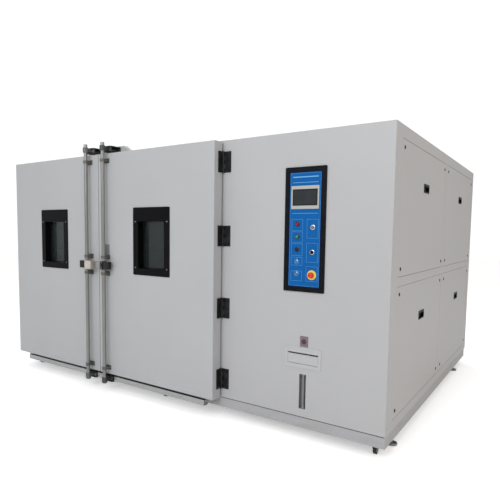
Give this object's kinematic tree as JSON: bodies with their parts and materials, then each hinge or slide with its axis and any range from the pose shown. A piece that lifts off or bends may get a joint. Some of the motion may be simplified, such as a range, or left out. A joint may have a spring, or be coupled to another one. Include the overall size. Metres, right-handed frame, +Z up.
{
  "type": "environmental test chamber",
  "caption": "Walk-in climate test chamber: insulated room with two glazed hinged door leaves on lock bars, and a machine cabinet with a control panel beside it.",
  "frame": {"origin": "on the floor, under the middle of the object", "axes": "+Z up, -Y towards the doors' front, +X to the right, where the machine cabinet stands"},
  "size_m": [3.9844, 3.257, 2.258],
  "materials": {
    "body_paint": "satin",
    "door_paint": "satin",
    "base_paint": "satin",
    "stainless": "brushed",
    "bar_steel": "polished",
    "black_steel": "satin",
    "black_plastic": "matte",
    "pane": "clear",
    "seal_rubber": "matte",
    "fascia_blue": "satin",
    "screen_case": "matte",
    "bezel_plastic": "satin",
    "red_plastic": "gloss",
    "green_plastic": "gloss",
    "dark_plastic": "gloss",
    "switch_metal": "satin",
    "wheel_rubber": "matte",
    "zinc_steel": "satin",
    "tank_plastic": "matte",
    "coil_metal": "satin",
    "machine_paint": "satin",
    "box_paint": "satin"
  },
  "bodies": {
    "chamber": {"base_frame": "base_paint", "caster_brackets": "zinc_steel", "room_panels": "body_paint", "door_frame": "body_paint", "cabinet_frame": "body_paint", "cabinet_front_panel": "body_paint", "cabinet_roof": "body_paint", "cabinet_back_panel": "body_paint", "side_panels": "body_paint", "room_liner": "stainless", "drip_channel": "stainless", "air_duct": "stainless", "frame_fittings": "black_steel", "flush_grips": "black_plastic", "fascia_frame": "black_plastic", "filler_frame": "black_plastic", "level_gauge": "black_plastic", "fascia_plate": "fascia_blue", "touch_screen": "screen_case", "control_bezels": "bezel_plastic", "water_tank": "tank_plastic", "coil_unit": "coil_metal", "refrigeration_unit": "machine_paint", "electrical_box": "box_paint"},
    "left_leaf": {"left_door": "door_paint", "left_door_gasket": "seal_rubber", "left_window_frame": "black_plastic", "left_window_glass": "pane", "left_door_fittings": "black_steel", "left_lock_case": "stainless"},
    "right_leaf": {"right_door": "door_paint", "right_door_gasket": "seal_rubber", "right_window_frame": "black_plastic", "right_window_glass": "pane", "right_door_fittings": "black_steel", "right_lock_case": "black_plastic"},
    "left_lock": {"left_lock_bar": "bar_steel"},
    "right_lock": {"right_lock_bar": "bar_steel"},
    "stop_button": {"stop_button": "red_plastic"},
    "start_button": {"start_button": "green_plastic"},
    "reset_button": {"reset_button": "dark_plastic"},
    "key_switch": {"key_switch": "switch_metal"},
    "selector_knob": {"selector_knob": "dark_plastic"},
    "emergency_stop": {"emergency_stop": "red_plastic"},
    "filler_flap": {"filler_flap": "black_plastic"},
    "fan_front": {"circulation_fan_front": "coil_metal"},
    "fan_rear": {"circulation_fan_rear": "coil_metal"},
    "fork_left": {"caster_fork_left": "zinc_steel"},
    "wheel_front_left": {"caster_wheel_front_left": "wheel_rubber"},
    "wheel_rear_left": {"caster_wheel_rear_left": "wheel_rubber"},
    "fork_middle": {"caster_fork_middle": "zinc_steel"},
    "wheel_front_middle": {"caster_wheel_front_middle": "wheel_rubber"},
    "wheel_rear_middle": {"caster_wheel_rear_middle": "wheel_rubber"},
    "fork_right": {"caster_fork_right": "zinc_steel"},
    "wheel_front_right": {"caster_wheel_front_right": "wheel_rubber"},
    "wheel_rear_right": {"caster_wheel_rear_right": "wheel_rubber"},
    "foot_front_left": {"levelling_foot_front_left": "zinc_steel"},
    "foot_front_right": {"levelling_foot_front_right": "zinc_steel"},
    "foot_rear_left": {"levelling_foot_rear_left": "zinc_steel"},
    "foot_rear_right": {"levelling_foot_rear_right": "zinc_steel"}
  },
  "joints": [
    {"name": "left_door_hinge", "type": "hinge", "parent": "chamber", "child": "left_leaf", "pos_m": [-1.98325, -1.4235, 1.08], "axis": [0, 0, 1], "range_deg": [-170, 0]},
    {"name": "right_door_hinge", "type": "hinge", "parent": "chamber", "child": "right_leaf", "pos_m": [0.68175, -1.426, 1.08], "axis": [0, 0, 1], "range_deg": [0, 95]},
    {"name": "left_lock_turn", "type": "hinge", "parent": "left_leaf", "child": "left_lock", "pos_m": [-0.76575, -1.5765, 1.166], "axis": [0, 0, 1], "range_deg": [0, 90]},
    {"name": "right_lock_turn", "type": "hinge", "parent": "right_leaf", "child": "right_lock", "pos_m": [-0.53575, -1.5765, 1.166], "axis": [0, 0, 1], "range_deg": [-90, 0]},
    {"name": "stop_press", "type": "slide", "parent": "chamber", "child": "stop_button", "axis": [0, 1, 0], "range_m": [0, 0.003], "stiffness_N_per_m": 300},
    {"name": "start_press", "type": "slide", "parent": "chamber", "child": "start_button", "axis": [0, 1, 0], "range_m": [0, 0.003], "stiffness_N_per_m": 300},
    {"name": "reset_press", "type": "slide", "parent": "chamber", "child": "reset_button", "axis": [0, 1, 0], "range_m": [0, 0.003], "stiffness_N_per_m": 300},
    {"name": "emergency_press", "type": "slide", "parent": "chamber", "child": "emergency_stop", "axis": [0, 1, 0], "range_m": [0, 0.004], "stiffness_N_per_m": 600},
    {"name": "key_turn", "type": "hinge", "parent": "chamber", "child": "key_switch", "pos_m": [1.44425, -1.4225, 1.518], "axis": [0, 1, 0], "range_deg": [0, 90]},
    {"name": "selector_turn", "type": "hinge", "parent": "chamber", "child": "selector_knob", "pos_m": [1.44425, -1.4225, 1.346], "axis": [0, 1, 0], "range_deg": [-45, 45]},
    {"name": "filler_flap_hinge", "type": "hinge", "parent": "chamber", "child": "filler_flap", "pos_m": [1.38925, -1.4155, 0.55], "axis": [1, 0, 0], "range_deg": [0, 75]},
    {"name": "caster_swivel_left", "type": "hinge", "parent": "chamber", "child": "fork_left", "pos_m": [-1.85675, -1.3565, 0.07], "axis": [0, 0, 1], "continuous": true},
    {"name": "caster_roll_front_left", "type": "hinge", "parent": "fork_left", "child": "wheel_front_left", "pos_m": [-1.85675, -1.3365, 0.031], "axis": [1, 0, 0], "continuous": true},
    {"name": "caster_roll_rear_left", "type": "hinge", "parent": "chamber", "child": "wheel_rear_left", "pos_m": [-1.85675, 1.5235, 0.031], "axis": [1, 0, 0], "continuous": true},
    {"name": "caster_swivel_middle", "type": "hinge", "parent": "chamber", "child": "fork_middle", "pos_m": [0.00725, -1.3565, 0.07], "axis": [0, 0, 1], "continuous": true},
    {"name": "caster_roll_front_middle", "type": "hinge", "parent": "fork_middle", "child": "wheel_front_middle", "pos_m": [0.00725, -1.3365, 0.031], "axis": [1, 0, 0], "continuous": true},
    {"name": "caster_roll_rear_middle", "type": "hinge", "parent": "chamber", "child": "wheel_rear_middle", "pos_m": [0.00725, 1.5235, 0.031], "axis": [1, 0, 0], "continuous": true},
    {"name": "caster_swivel_right", "type": "hinge", "parent": "chamber", "child": "fork_right", "pos_m": [1.90725, -1.3565, 0.07], "axis": [0, 0, 1], "continuous": true},
    {"name": "caster_roll_front_right", "type": "hinge", "parent": "fork_right", "child": "wheel_front_right", "pos_m": [1.90725, -1.3365, 0.031], "axis": [1, 0, 0], "continuous": true},
    {"name": "caster_roll_rear_right", "type": "hinge", "parent": "chamber", "child": "wheel_rear_right", "pos_m": [1.90725, 1.5235, 0.031], "axis": [1, 0, 0], "continuous": true},
    {"name": "foot_screw_front_left", "type": "slide", "parent": "chamber", "child": "foot_front_left", "axis": [0, 0, -1], "range_m": [0, 0.025]},
    {"name": "foot_screw_front_right", "type": "slide", "parent": "chamber", "child": "foot_front_right", "axis": [0, 0, -1], "range_m": [0, 0.025]},
    {"name": "foot_screw_rear_left", "type": "slide", "parent": "chamber", "child": "foot_rear_left", "axis": [0, 0, -1], "range_m": [0, 0.025]},
    {"name": "foot_screw_rear_right", "type": "slide", "parent": "chamber", "child": "foot_rear_right", "axis": [0, 0, -1], "range_m": [0, 0.025]},
    {"name": "fan_spin_front", "type": "hinge", "parent": "chamber", "child": "fan_front", "pos_m": [0.25225, -0.519, 1.72], "axis": [1, 0, 0], "continuous": true},
    {"name": "fan_spin_rear", "type": "hinge", "parent": "chamber", "child": "fan_rear", "pos_m": [0.25225, 0.651, 1.72], "axis": [1, 0, 0], "continuous": true}
  ]
}
